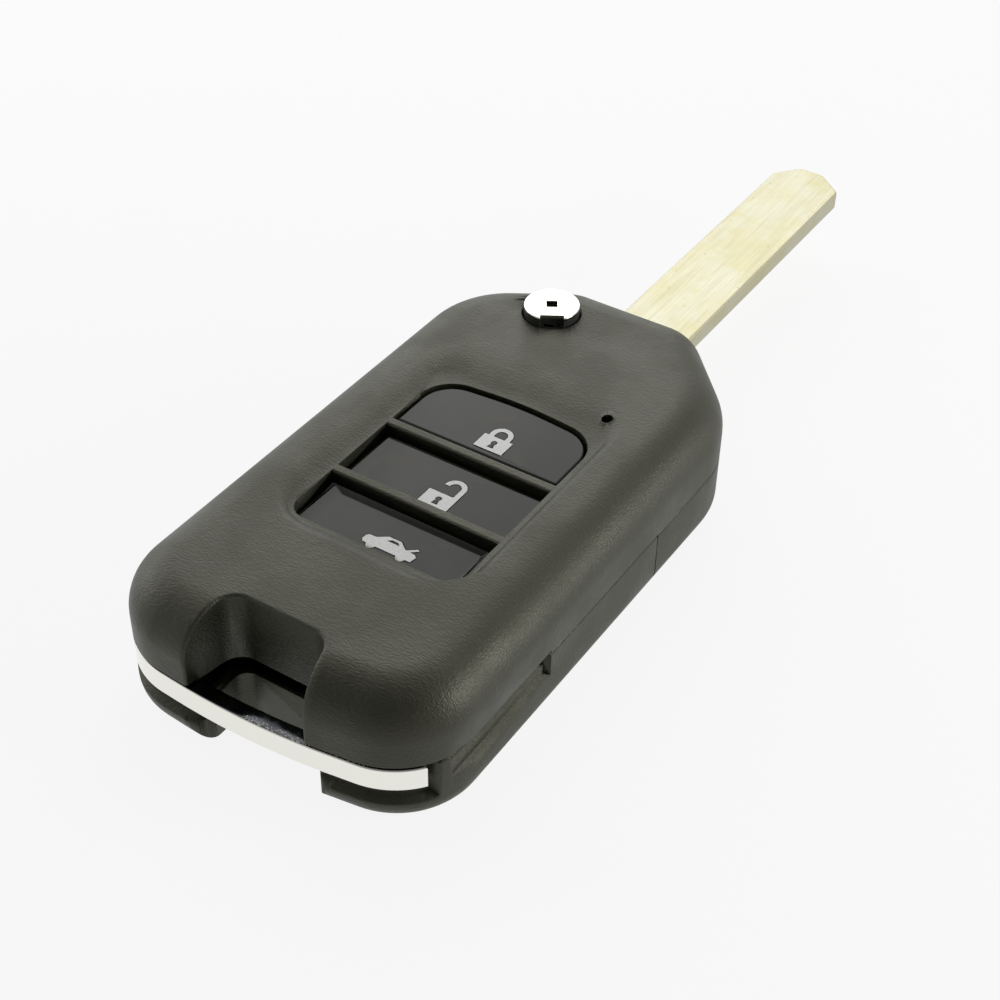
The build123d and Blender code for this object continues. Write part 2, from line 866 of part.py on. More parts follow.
# Slotted spring pin through the arm and the tang
with BuildPart() as blade_pin:
    disc(blade_x, pivot_y + pin_y, pin_r, arm_low_z + pin_sink, arm_high_z - pin_sink)
    disc(blade_x, pivot_y + pin_y, pin_r - pin_wall, arm_low_z, arm_high_z, Mode.SUBTRACT)
    block(
        blade_x,
        blade_x + 2 * pin_r,
        pivot_y + pin_y - pin_slot / 2,
        pivot_y + pin_y + pin_slot / 2,
        arm_low_z,
        arm_high_z,
        Mode.SUBTRACT,
    )



def button_cuts():
    # the button's square hole and the notch in its rim
    with BuildSketch(Plane.XY.offset(button_roof_z)) as hole:
        with Locations((pivot_x, pivot_y)):
            Rectangle(button_square, button_square, rotation=button_turn)
    extrude(hole.sketch, amount=button_roof, mode=Mode.SUBTRACT)
    notch_mid_x = pivot_x + button_r * sin(radians(button_turn))
    notch_mid_y = pivot_y - button_r * cos(radians(button_turn))
    with BuildSketch(Plane.XY.offset(button_top_z - button_notch_tall)) as rim_notch:
        with Locations((notch_mid_x, notch_mid_y)):
            Rectangle(button_notch_width, 2 * button_notch_deep, rotation=button_turn)
    extrude(rim_notch.sketch, amount=button_notch_tall, mode=Mode.SUBTRACT)


# Release button: a body with a square hole, a notch in its rim and a flange with two lugs
with BuildPart() as release_button:
    disc(pivot_x, pivot_y, button_r, button_low_z, button_cap_z)
    flange_low_z = button_flange_top - button_flange_thick
    disc(pivot_x, pivot_y, button_flange_r, flange_low_z, button_flange_top)
    with BuildSketch(Plane.XY.offset(flange_low_z)):
        with Locations((pivot_x, pivot_y)):
            Rectangle(2 * (button_flange_r + lug_reach), lug_width, rotation=lug_turn)
    extrude(amount=button_flange_thick)
    disc(pivot_x, pivot_y, button_cup_r, button_low_z, button_roof_z, Mode.SUBTRACT)
    button_cuts()

# Plated cap on top of the button's body
with BuildPart() as button_cap:
    disc(pivot_x, pivot_y, button_r, button_cap_z, button_top_z)
    fillet(faces().sort_by(Axis.Z)[-1].edges(), radius=button_edge)
    button_cuts()

# Pivot spring: one coil that lifts the button and turns the head
spring_low_z = floor + plate_thick + spring_wire_r + spring_gap
spring_high_z = button_roof_z - spring_wire_r - spring_gap
with BuildPart() as pivot_spring:
    with BuildLine() as coil:
        Helix(
            pitch=spring_pitch,
            height=spring_high_z - spring_low_z,
            radius=spring_r,
            center=(pivot_x, pivot_y, spring_low_z),
        )
    with BuildSketch(coil.line ^ 0):
        Circle(spring_wire_r)
    sweep(path=coil.line, is_frenet=True)

# Spring plate: a disc whose square foot sits in the floor, with a hole for the spring's end
with BuildPart() as spring_plate:
    disc(pivot_x, pivot_y, plate_r, floor, floor + plate_thick)
    block(
        pivot_x - plate_foot / 2,
        pivot_x + plate_foot / 2,
        pivot_y - plate_foot / 2,
        pivot_y + plate_foot / 2,
        floor - plate_foot_deep,
        floor,
    )
    disc(
        pivot_x,
        pivot_y + spring_r,
        spring_wire_r + plate_gap,
        floor - plate_foot_deep,
        floor + plate_thick,
        Mode.SUBTRACT,
    )

# Thrust washer under the barrel
with BuildPart() as thrust_washer:
    disc(pivot_x, pivot_y, barrel_r - washer_inset, floor, floor + washer_thick)
    disc(pivot_x, pivot_y, washer_hole_r, floor, floor + washer_thick, Mode.SUBTRACT)


def padlock(x, y, is_open):
    # a padlock sign: body with a keyhole, and a shackle that is lifted to one side when open
    lift = shackle_lift if is_open else 0
    shift = lock_wide / 2 - shackle_r if is_open else 0
    body_top = lock_tall / 2
    bend_y = body_top + shackle_leg + lift
    leg_x = shackle_r - shackle_wire / 2
    with BuildSketch() as sign:
        with Locations((shift, bend_y)):
            Circle(shackle_r)
            Circle(shackle_r - shackle_wire, mode=Mode.SUBTRACT)
        with Locations((shift, bend_y - shackle_r)):
            Rectangle(2 * shackle_r, 2 * shackle_r, mode=Mode.SUBTRACT)
        with Locations((shift + leg_x, bend_y / 2)):
            Rectangle(shackle_wire, bend_y)
        if not is_open:
            with Locations((-leg_x, bend_y / 2)):
                Rectangle(shackle_wire, bend_y)
        Rectangle(lock_wide, lock_tall)
        with Locations((0, lock_tall * 0.1)):
            Circle(lock_keyhole, mode=Mode.SUBTRACT)
        with BuildLine():
            Polyline(
                (-lock_keyhole / 2, lock_tall * 0.1),
                (lock_keyhole / 2, lock_tall * 0.1),
                (lock_skirt, -lock_tall * 0.3),
                (-lock_skirt, -lock_tall * 0.3),
                close=True,
            )
        make_face(mode=Mode.SUBTRACT)
    return Pos(x, y) * sign.sketch


def open_boot_car(x, y):
    # a plain car sign seen from the side, with its boot lid up
    with BuildSketch() as sign:
        with BuildLine():
            Polyline(
                (-2.75, -0.7),
                (-2.95, -0.4),
                (-2.9, 0.2),
                (-2.65, 0.45),
                (-1.9, 0.5),
                (-0.9, 1.2),
                (0.5, 1.2),
                (1.4, 0.5),
                (2.6, 0.4),
                (2.9, 0.1),
                (2.75, -0.7),
                close=True,
            )
        make_face()
        with Locations((-1.75, -0.7), (1.65, -0.7)):
            Circle(0.5)
        with BuildLine():
            Polyline((-0.8, 0.6), (-0.35, 0.93), (0.3, 0.93), (0.7, 0.6), close=True)
        make_face(mode=Mode.SUBTRACT)
        with BuildLine():
            Polyline((1.5, 0.45), (1.8, 0.3), (2.65, 1.0), (2.45, 1.2), close=True)
        make_face()
    return Pos(x, y) * sign.sketch


def key_plan(y_low, y_high, left_gap, grow=0.0):
    # one key's outline: its share of the window, less the gaps around it
    x_low = window_left_x + left_gap
    x_high = window_right_x
    with BuildSketch() as plan:
        add(window_plan(-key_gap))
        with Locations(((x_low + x_high) / 2, (y_low + y_high) / 2)):
            Rectangle(x_high - x_low, y_high - y_low, mode=Mode.INTERSECT)
        if grow != 0:
            offset(amount=grow, kind=Kind.INTERSECTION)
    return plan.sketch


def make_key(y_low, y_high, left_gap, sign, top_z, face_z):
    # a key cap with its flange, and the sign's pocket in its face
    with BuildPart() as key:
        patch_block(key_plan(y_low, y_high, left_gap), key_low_z, top_z)
        chamfer(faces().sort_by(Axis.Z)[-1].edges(), length=key_edge)
        patch_block(key_plan(y_low, y_high, left_gap, key_flange), key_low_z, key_flange_top)
        if face_z < top_z:
            x_low = window_left_x + left_gap + trunk_rim
            x_high = window_right_x - key_gap - trunk_rim
            dish_low = y_low + trunk_rim
            dish_high = y_high - trunk_rim
            mouth = (x_low, x_high, dish_low, dish_high)
            base = (
                x_low + trunk_left_bevel,
                x_high - trunk_bevel,
                dish_low + trunk_bevel,
                dish_high - trunk_bevel,
            )
            outlines = []
            for (left, right, near, head), level in ((base, face_z), (mouth, top_z)):
                with BuildSketch(Plane.XY.offset(level)) as outline:
                    with Locations(((left + right) / 2, (near + head) / 2)):
                        Rectangle(right - left, head - near)
                outlines.append(outline.sketch)
            loft(outlines, mode=Mode.SUBTRACT)
        patch_block(sign, face_z - mark_depth, face_z, Mode.SUBTRACT)
    return key.part


def make_mark(sign, face_z):
    # the silver sign, let into the key's face and just proud of it
    with BuildPart() as mark:
        patch_block(sign, face_z - mark_depth, face_z + mark_proud)
    return mark.part


# Keys and their signs, from the head towards the tail
trunk_face_z = key_face_z - trunk_dish
key_rows = (
    (
        "lock",
        rib_tops_y[0] + key_gap,
        far,
        key_gap,
        padlock(lock_sign_x, rib_tops_y[0] + lock_sign_rise, False),
        lock_face_z,
        lock_face_z,
    ),
    (
        "unlock",
        rib_tops_y[1] + key_gap,
        rib_tops_y[0] - rib_width - key_rib_gap,
        key_left_gap,
        padlock(sign_x, rib_tops_y[1] + unlock_sign_rise, True),
        key_face_z,
        key_face_z,
    ),
    (
        "trunk",
        window_low_y + key_gap,
        rib_tops_y[1] - rib_width - key_rib_gap,
        key_left_gap,
        open_boot_car(sign_x, window_low_y + trunk_sign_rise),
        key_face_z,
        trunk_face_z,
    ),
)
keys = [
    (name, make_key(y_low, y_high, left_gap, sign, top_z, face_z), make_mark(sign, face_z))
    for name, y_low, y_high, left_gap, sign, top_z, face_z in key_rows
]

# Rubber pad under the keys, with a raised patch under each
with BuildPart() as key_pad:
    pad_low_y = window_low_y
    pad_high_y = window_high_y
    pad_right_x = window_right_x
    pad_sheet_z = frame_top_z + pad_thick
    block(frame_left_x, pad_right_x, pad_low_y, pad_high_y, frame_top_z, pad_sheet_z)
    patch_limits = (
        (rib_tops_y[0], pad_high_y),
        (rib_tops_y[1], rib_tops_y[0] - rib_width),
        (pad_low_y, rib_tops_y[1] - rib_width),
    )
    for y_low, y_high in patch_limits:
        block(
            frame_left_x + pad_margin,
            pad_right_x - pad_margin,
            y_low + pad_margin,
            y_high - pad_margin,
            pad_sheet_z,
            pad_top_z,
        )

# Frame that backs the pad, hung on four stakes of the upper shell
with BuildPart() as pad_frame:
    block(frame_left_x, frame_right_x, frame_low_y, frame_high_y, frame_low_z, frame_top_z)
    for y_low, y_high in patch_limits:
        block(
            frame_left_x + 2 * frame_rim,
            pad_right_x - frame_rim,
            y_low + frame_rim,
            y_high - frame_rim,
            frame_low_z,
            frame_top_z,
            Mode.SUBTRACT,
        )
    for x, y in stake_places:
        disc(x, y, stake_r, frame_low_z, frame_top_z, Mode.SUBTRACT)
    disc(lamp_x, lamp_y - lamp_r, 2 * lamp_r, frame_low_z, frame_top_z, Mode.SUBTRACT)

# Open tray for the immobiliser chip
with BuildPart() as chip_tray:
    block(tray_x, tray_x + tray_length, tray_y, tray_y + tray_width, floor, floor + tray_height)
    block(
        tray_x + tray_wall,
        tray_x + tray_length - tray_wall,
        tray_y + tray_wall,
        tray_y + tray_width - tray_wall,
        floor + tray_wall,
        floor + tray_height,
        Mode.SUBTRACT,
    )


def make_screws(places):
    # cross-head screws with their heads at the bottom of the case
    with BuildPart() as screws:
        for x, y in places:
            shank_z = screw_sink + screw_head_thick
            disc(x, y, screw_head_r, screw_sink, shank_z)
            disc(x, y, screw_r, shank_z, shank_z + screw_length - screw_end_gap)
            for turn in (0, 90):
                with BuildSketch(Plane.XY.offset(screw_sink)) as cross:
                    with Locations((x, y)):
                        Rectangle(2 * screw_cross_r, screw_slot, rotation=turn)
                extrude(cross.sketch, amount=screw_slot_deep, mode=Mode.SUBTRACT)
    return screws.part


pieces = {
    "upper_shell": upper_shell.part,
    "lower_shell": lower_shell.part,
    "rear_cover": rear_cover.part,
    "key_ring_bar": key_ring_bar.part,
    "flip_head": flip_head.part,
    "blade": blade.part,
    "blade_pin": blade_pin.part,
    "release_button": release_button.part,
    "button_cap": button_cap.part,
    "pivot_spring": pivot_spring.part,
    "spring_plate": spring_plate.part,
    "thrust_washer": thrust_washer.part,
    "key_pad": key_pad.part,
    "pad_frame": pad_frame.part,
    "chip_tray": chip_tray.part,
    "case_screws": make_screws(screw_places),
    "cover_screw": make_screws([(bar_post_x, bar_post_y)]),
}
for name, key, mark in keys:
    pieces[name + "_key"] = key
    pieces[name + "_mark"] = mark

for name, piece in pieces.items():
    piece.label = name
    export_step(piece, "parts/" + name + ".step")
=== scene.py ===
import json
from math import cos, radians, sin

import bpy
from mathutils import Matrix, Vector


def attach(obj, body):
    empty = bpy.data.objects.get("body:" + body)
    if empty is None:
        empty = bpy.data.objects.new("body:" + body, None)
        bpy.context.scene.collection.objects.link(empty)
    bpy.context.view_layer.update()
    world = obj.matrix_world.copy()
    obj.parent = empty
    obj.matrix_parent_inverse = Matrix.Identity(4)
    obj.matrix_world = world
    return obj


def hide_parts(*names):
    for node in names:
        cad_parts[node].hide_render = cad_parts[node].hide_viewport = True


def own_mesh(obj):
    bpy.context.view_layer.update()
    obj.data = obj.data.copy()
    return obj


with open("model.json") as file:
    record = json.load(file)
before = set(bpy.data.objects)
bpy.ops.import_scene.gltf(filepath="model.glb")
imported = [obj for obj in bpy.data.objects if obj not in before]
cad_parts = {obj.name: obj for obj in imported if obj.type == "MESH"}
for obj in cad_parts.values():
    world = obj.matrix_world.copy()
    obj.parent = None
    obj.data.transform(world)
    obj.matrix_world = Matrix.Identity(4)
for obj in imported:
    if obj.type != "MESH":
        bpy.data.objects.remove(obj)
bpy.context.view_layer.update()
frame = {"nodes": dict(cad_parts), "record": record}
nodes = frame["nodes"]
bodies = frame["record"]["behaviour"]["bodies"]
bodyOf = {node: body for body, members in bodies.items() for node in members}
slotOf = {part["node"]: part["material_slot"] for part in frame["record"]["subparts"]}
mm = 0.001
bpy.ops.object.select_all(action="DESELECT")
print("frame loaded:", len(nodes), "nodes")


# The camera stands where the photograph was taken from
photoView = {
    "lens": 64.36,  # mm
    "sensorWidth": 36,  # mm
    "clipStart": 0.01,  # m
    "azimuth": 32.42,  # degrees, turned to the right from straight behind the tail
    "elevation": 39.93,
    "roll": 1.03,
    "target": (2.65, 3.19, 8.0),  # mm
    "distance": 181.31,  # mm
}


def placeCamera():
    azimuth = radians(photoView["azimuth"])
    elevation = radians(photoView["elevation"])
    roll = radians(photoView["roll"])
    back = Vector((sin(azimuth) * cos(elevation), -cos(azimuth) * cos(elevation), sin(elevation)))
    right = Vector((cos(azimuth), sin(azimuth), 0))
    up = back.cross(right)
    rolledRight = right * cos(roll) + up * sin(roll)
    rolledUp = up * cos(roll) - right * sin(roll)
    lens = bpy.data.cameras.new("photoCamera")
    lens.lens = photoView["lens"]
    lens.sensor_width = photoView["sensorWidth"]
    lens.clip_start = photoView["clipStart"]
    camera = bpy.data.objects.new("photoCamera", lens)
    bpy.context.scene.collection.objects.link(camera)
    spot = (Vector(photoView["target"]) + back * photoView["distance"]) * mm
    turn = Matrix((rolledRight, rolledUp, back)).transposed().to_4x4()
    camera.matrix_world = Matrix.Translation(spot) @ turn
    bpy.context.scene.camera = camera


placeCamera()
bpy.context.scene.view_settings.view_transform = "Standard"
print("camera placed")


# Small helpers for node trees
def addNode(tree, kind, x, y, **settings):
    node = tree.nodes.new(kind)
    node.location = (x * 200, y * 200)
    for name, value in settings.items():
        setattr(node, name, value)
    return node


def setInputs(node, **values):
    for name, value in values.items():
        node.inputs[name].default_value = value


def startGroup(name, inputs, outputs):
    group = bpy.data.node_groups.new(name, "ShaderNodeTree")
    for label, kind, value in inputs:
        socket = group.interface.new_socket(label, in_out="INPUT", socket_type=kind)
        socket.default_value = value
    for label, kind in outputs:
        group.interface.new_socket(label, in_out="OUTPUT", socket_type=kind)
    entry = addNode(group, "NodeGroupInput", -6, 0)
    result = addNode(group, "NodeGroupOutput", 4, 0)
    return group, entry, result


def useGroup(tree, group, x, y, **values):
    node = addNode(tree, "ShaderNodeGroup", x, y)
    node.node_tree = group
    setInputs(node, **values)
    return node


def math(tree, operation, x, y, first, second):
    # a Math node whose inputs are sockets or numbers
    node = addNode(tree, "ShaderNodeMath", x, y, operation=operation)
    for slotNumber, value in enumerate((first, second)):
        if isinstance(value, bpy.types.NodeSocket):
            tree.links.new(value, node.inputs[slotNumber])
        else:
            node.inputs[slotNumber].default_value = value
    return node.outputs[0]


def spread(tree, x, y, value, low, high, newLow=0.0, newHigh=1.0):
    # a Map Range node: value from low..high to newLow..newHigh, with a smooth middle
    node = addNode(tree, "ShaderNodeMapRange", x, y, interpolation_type="SMOOTHSTEP")
    tree.links.new(value, node.inputs["Value"])
    node.inputs["From Min"].default_value = low
    node.inputs["From Max"].default_value = high
    node.inputs["To Min"].default_value = newLow
    node.inputs["To Max"].default_value = newHigh
    return node.outputs["Result"]


def blendColours(tree, x, y, share, first, second):
    # a colour mix whose colours are sockets or plain tuples
    node = addNode(tree, "ShaderNodeMix", x, y, data_type="RGBA")
    tree.links.new(share, node.inputs[0])
    for slotNumber, value in ((6, first), (7, second)):
        if isinstance(value, bpy.types.NodeSocket):
            tree.links.new(value, node.inputs[slotNumber])
        else:
            node.inputs[slotNumber].default_value = (*value, 1)
    return node.outputs[2]


# Effects that several finishes share
grainShape = {
    "warpScale": 700.0,
    "squeeze": (0.55, 1.5, 1.5),  # the pebbles are longer across the case
    "pebbleEdge": 0.28,
    "fineScale": 7000.0,
    "broadScale": 1500.0,
    "pebbleShare": 0.5,
    "fineShare": 0.25,
    "broadShare": 0.8,
}
wearShape = {
    "plainFrom": 0.99,  # likeness of the rounded normal to the plain one
    "wornTo": 0.9,
    "patchLow": 0.35,
    "patchHigh": 0.65,
}


def makeLeatherGrain():
    group, entry, result = startGroup(
        "leatherGrain",
        [("Cells", "NodeSocketFloat", 1900.0), ("Wander", "NodeSocketFloat", 0.0006)],
        [("Height", "NodeSocketFloat"), ("Hollows", "NodeSocketFloat")],
    )
    place = addNode(group, "ShaderNodeTexCoord", -6, 2)
    warp = addNode(group, "ShaderNodeTexNoise", -5, 1)
    setInputs(warp, Scale=grainShape["warpScale"], Detail=2.0)
    group.links.new(place.outputs["Object"], warp.inputs["Vector"])
    shift = addNode(group, "ShaderNodeVectorMath", -4, 1, operation="SCALE")
    group.links.new(warp.outputs["Color"], shift.inputs[0])
    group.links.new(entry.outputs["Wander"], shift.inputs["Scale"])
    moved = addNode(group, "ShaderNodeVectorMath", -3, 2, operation="ADD")
    group.links.new(place.outputs["Object"], moved.inputs[0])
    group.links.new(shift.outputs[0], moved.inputs[1])
    squeezed = addNode(group, "ShaderNodeVectorMath", -3, 3, operation="MULTIPLY")
    squeezed.inputs[1].default_value = grainShape["squeeze"]
    group.links.new(moved.outputs[0], squeezed.inputs[0])
    cells = addNode(group, "ShaderNodeTexVoronoi", -2, 2, feature="DISTANCE_TO_EDGE")
    group.links.new(squeezed.outputs[0], cells.inputs["Vector"])
    group.links.new(entry.outputs["Cells"], cells.inputs["Scale"])
    pebbles = spread(group, -1, 2, cells.outputs["Distance"], 0.0, grainShape["pebbleEdge"])
    fine = addNode(group, "ShaderNodeTexNoise", -2, 0)
    setInputs(fine, Scale=grainShape["fineScale"], Detail=3.0)
    group.links.new(place.outputs["Object"], fine.inputs["Vector"])
    broad = addNode(group, "ShaderNodeTexNoise", -2, -2)
    setInputs(broad, Scale=grainShape["broadScale"], Detail=3.0)
    group.links.new(squeezed.outputs[0], broad.inputs["Vector"])
    pebbly = math(group, "MULTIPLY", 0, 2, pebbles, grainShape["pebbleShare"])
    finely = math(group, "MULTIPLY", 0, 0, fine.outputs["Fac"], grainShape["fineShare"])
    broadly = math(group, "MULTIPLY", 0, -2, broad.outputs["Fac"], grainShape["broadShare"])
    both = math(group, "ADD", 1, 1, pebbly, finely)
    total = math(group, "ADD", 2, 0, both, broadly)
    group.links.new(total, result.inputs["Height"])
    group.links.new(math(group, "SUBTRACT", 1, 3, 1.0, pebbles), result.inputs["Hollows"])
    return group


def makeDustSpecks():
    group, entry, result = startGroup(
        "dustSpecks",
        [
            ("Spacing", "NodeSocketFloat", 260.0),
            ("Size", "NodeSocketFloat", 0.03),
            ("Share", "NodeSocketFloat", 0.3),
        ],
        [("Mask", "NodeSocketFloat")],
    )
    place = addNode(group, "ShaderNodeTexCoord", -6, 2)
    dots = addNode(group, "ShaderNodeTexVoronoi", -3, 2)
    group.links.new(place.outputs["Object"], dots.inputs["Vector"])
    group.links.new(entry.outputs["Spacing"], dots.inputs["Scale"])
    near = math(group, "LESS_THAN", -1, 2, dots.outputs["Distance"], entry.outputs["Size"])
    pick = addNode(group, "ShaderNodeSeparateColor", -2, 0)
    group.links.new(dots.outputs["Color"], pick.inputs["Color"])
    chosen = math(group, "LESS_THAN", -1, 0, pick.outputs["Red"], entry.outputs["Share"])
    group.links.new(math(group, "MULTIPLY", 1, 1, near, chosen), result.inputs["Mask"])
    return group


def makeEdgeWear():
    group, entry, result = startGroup(
        "edgeWear",
        [("Reach", "NodeSocketFloat", 0.0002), ("Patchiness", "NodeSocketFloat", 900.0)],
        [("Mask", "NodeSocketFloat")],
    )
    rounded = addNode(group, "ShaderNodeBevel", -5, 1, samples=4)
    group.links.new(entry.outputs["Reach"], rounded.inputs["Radius"])
    plain = addNode(group, "ShaderNodeNewGeometry", -5, -1)
    likeness = addNode(group, "ShaderNodeVectorMath", -4, 0, operation="DOT_PRODUCT")
    group.links.new(rounded.outputs[0], likeness.inputs[0])
    group.links.new(plain.outputs["Normal"], likeness.inputs[1])
    alike = likeness.outputs["Value"]
    edge = spread(group, -2, 0, alike, wearShape["plainFrom"], wearShape["wornTo"])
    place = addNode(group, "ShaderNodeTexCoord", -5, -3)
    patches = addNode(group, "ShaderNodeTexNoise", -3, -3)
    setInputs(patches, Detail=3.0)
    group.links.new(place.outputs["Object"], patches.inputs["Vector"])
    group.links.new(entry.outputs["Patchiness"], patches.inputs["Scale"])
    patchy = patches.outputs["Fac"]
    rubbed = spread(group, -1, -3, patchy, wearShape["patchLow"], wearShape["patchHigh"])
    group.links.new(math(group, "MULTIPLY", 1, 0, edge, rubbed), result.inputs["Mask"])
    return group


def makeBlotches():
    group, entry, result = startGroup(
        "blotches",
        [
            ("Scale", "NodeSocketFloat", 150.0),
            ("Low", "NodeSocketFloat", 0.4),
            ("High", "NodeSocketFloat", 0.6),
        ],
        [("Mask", "NodeSocketFloat")],
    )
    place = addNode(group, "ShaderNodeTexCoord", -6, 0)
    cloud = addNode(group, "ShaderNodeTexNoise", -4, 0)
    setInputs(cloud, Detail=4.0, Roughness=0.55)
    group.links.new(place.outputs["Object"], cloud.inputs["Vector"])
    group.links.new(entry.outputs["Scale"], cloud.inputs["Scale"])
    mask = spread(group, -1, 0, cloud.outputs["Fac"], 0.4, 0.6)
    group.links.new(entry.outputs["Low"], mask.node.inputs["From Min"])
    group.links.new(entry.outputs["High"], mask.node.inputs["From Max"])
    group.links.new(mask, result.inputs["Mask"])
    return group


def makeBrushedLines():
    group, entry, result = startGroup(
        "brushedLines",
        [("Stretch", "NodeSocketVector", (6000.0, 150.0, 6000.0))],
        [("Height", "NodeSocketFloat")],
    )
    place = addNode(group, "ShaderNodeTexCoord", -6, 0)
    stretched = addNode(group, "ShaderNodeVectorMath", -4, 0, operation="MULTIPLY")
    group.links.new(place.outputs["Object"], stretched.inputs[0])
    group.links.new(entry.outputs["Stretch"], stretched.inputs[1])
    lines = addNode(group, "ShaderNodeTexNoise", -2, 0)
    setInputs(lines, Scale=1.0, Detail=3.0)
    group.links.new(stretched.outputs[0], lines.inputs["Vector"])
    group.links.new(lines.outputs["Fac"], result.inputs["Height"])
    return group


leatherGrain = makeLeatherGrain()
dustSpecks = makeDustSpecks()
edgeWear = makeEdgeWear()
blotches = makeBlotches()
brushedLines = makeBrushedLines()
print("shared effects made")


# Finishes
lineHeights = (0.2, 0.8)  # the heights of the brushed lines that take the roughness from low to high


def startMaterial(name):
    material = bpy.data.materials.new(name)
    material.use_nodes = True
    tree = material.node_tree
    tree.nodes.clear()
    output = addNode(tree, "ShaderNodeOutputMaterial", 3, 0)
    shader = addNode(tree, "ShaderNodeBsdfPrincipled", 1, 0)
    tree.links.new(shader.outputs[0], output.inputs["Surface"])
    return material, tree, shader


def addBump(tree, shader, height, distance, softEdge=0.0):
    # softEdge is the radius that shades sharp edges as if they were rounded
    bump = addNode(tree, "ShaderNodeBump", 0, -3)
    setInputs(bump, Distance=distance)
    if softEdge > 0:
        rounded = addNode(tree, "ShaderNodeBevel", -1, -4, samples=4)
        setInputs(rounded, Radius=softEdge)
        tree.links.new(rounded.outputs[0], bump.inputs["Normal"])
    tree.links.new(height, bump.inputs["Height"])
    tree.links.new(bump.outputs["Normal"], shader.inputs["Normal"])


caseLook = {
    "dark": (0.014, 0.0145, 0.0085),
    "light": (0.023, 0.024, 0.0155),
    "rubbed": (0.045, 0.046, 0.038),
    "dust": (0.35, 0.35, 0.32),
    "cloud": {"Scale": 120.0, "Low": 0.3, "High": 0.7},
    "specks": {"Spacing": 170.0, "Size": 0.018, "Share": 0.35},
    "wear": {"Reach": 0.00015},
    "hollowShare": 0.4,  # how far the hollows of the grain go to the dark colour
    "wearShare": 0.6,
    "roughLow": 0.42,
    "roughHigh": 0.54,
    "shine": 0.5,
    "shineTint": (1.0, 1.0, 0.80),
    "grainDepth": 0.000028,  # m
    "softEdge": 0.00012,  # m
}


def makeCasePlastic():
    look = caseLook
    material, tree, shader = startMaterial("casePlastic")
    grain = useGroup(tree, leatherGrain, -4, -3)
    cloud = useGroup(tree, blotches, -4, 1, **look["cloud"])
    wear = useGroup(tree, edgeWear, -4, 3, **look["wear"])
    specks = useGroup(tree, dustSpecks, -4, 5, **look["specks"])
    ground = blendColours(tree, -3, 1, cloud.outputs[0], look["dark"], look["light"])
    hollows = math(tree, "MULTIPLY", -3, 0, grain.outputs["Hollows"], look["hollowShare"])
    sunk = blendColours(tree, -2, 1, hollows, ground, look["dark"])
    rubbed = math(tree, "MULTIPLY", -2, 3, wear.outputs[0], look["wearShare"])
    worn = blendColours(tree, -1, 1, rubbed, sunk, look["rubbed"])
    dusty = blendColours(tree, 0, 1, specks.outputs[0], worn, look["dust"])
    tree.links.new(dusty, shader.inputs["Base Color"])
    rough = spread(tree, -1, -1, cloud.outputs[0], 0, 1, look["roughLow"], look["roughHigh"])
    tree.links.new(rough, shader.inputs["Roughness"])
    shader.inputs["Specular IOR Level"].default_value = look["shine"]
    shader.inputs["Specular Tint"].default_value = (*look["shineTint"], 1)
    addBump(tree, shader, grain.outputs["Height"], look["grainDepth"], look["softEdge"])
    return material


keyLook = {
    # painted light: the left colour is a painted sheen, the right colour a painted shade
    "left": (0.034, 0.035, 0.029),
    "right": (0.006, 0.006, 0.002),
    "smear": (0.050, 0.042, 0.022),
    "cloud": {"Scale": 110.0, "Low": 0.3, "High": 0.7},
    "smears": {"Scale": 210.0, "Low": 0.55, "High": 0.68},
    "scratches": (9000.0, 900.0, 3000.0),
    "cloudShare": 0.35,
    "smearShare": 0.5,
    "rough": 0.07,
    "smearRough": 0.18,
    "shine": 0.21,
    "scratchDepth": 0.000002,  # m
    "paintedShadeReach": 0.010,  # m, where the painted sheen on the left turns into the painted shade on the right
}


def makeKeyPlastic():
    look = keyLook
    material, tree, shader = startMaterial("keyPlastic")
    cloud = useGroup(tree, blotches, -5, 1, **look["cloud"])
    smears = useGroup(tree, blotches, -4, 3, **look["smears"])
    scratches = useGroup(tree, brushedLines, -4, -3, Stretch=look["scratches"])
    place = addNode(tree, "ShaderNodeTexCoord", -7, 0)
    across = addNode(tree, "ShaderNodeSeparateXYZ", -6, 0)
    tree.links.new(place.outputs["Object"], across.inputs[0])
    # painted sheen on the left of the key faces, fading into painted shade on the right
    toRight = spread(tree, -5, 0, across.outputs["X"], -look["paintedShadeReach"], look["paintedShadeReach"])
    centred = math(tree, "SUBTRACT", -4, 2, cloud.outputs[0], 0.5)
    cloudy = math(tree, "MULTIPLY", -4, 1, centred, look["cloudShare"])
    share = math(tree, "ADD", -3, 1, toRight, cloudy)
    share.node.use_clamp = True
    ground = blendColours(tree, -2, 1, share, look["left"], look["right"])
    smearMask = math(tree, "MULTIPLY", -2, 3, smears.outputs[0], look["smearShare"])
    smeared = blendColours(tree, -1, 1, smearMask, ground, look["smear"])
    tree.links.new(smeared, shader.inputs["Base Color"])
    rough = spread(tree, -1, -1, smears.outputs[0], 0, 1, look["rough"], look["smearRough"])
    tree.links.new(rough, shader.inputs["Roughness"])
    shader.inputs["Specular IOR Level"].default_value = look["shine"]
    addBump(tree, shader, scratches.outputs[0], look["scratchDepth"])
    return material


markLook = {
    "dark": (0.54, 0.55, 0.53),
    "pale": (0.68, 0.69, 0.67),
    "grit": {"Scale": 6000.0, "Low": 0.3, "High": 0.7},
    "roughLow": 0.4,
    "roughHigh": 0.55,
    "metallic": 0.15,
    "gritDepth": 0.000005,  # m
}


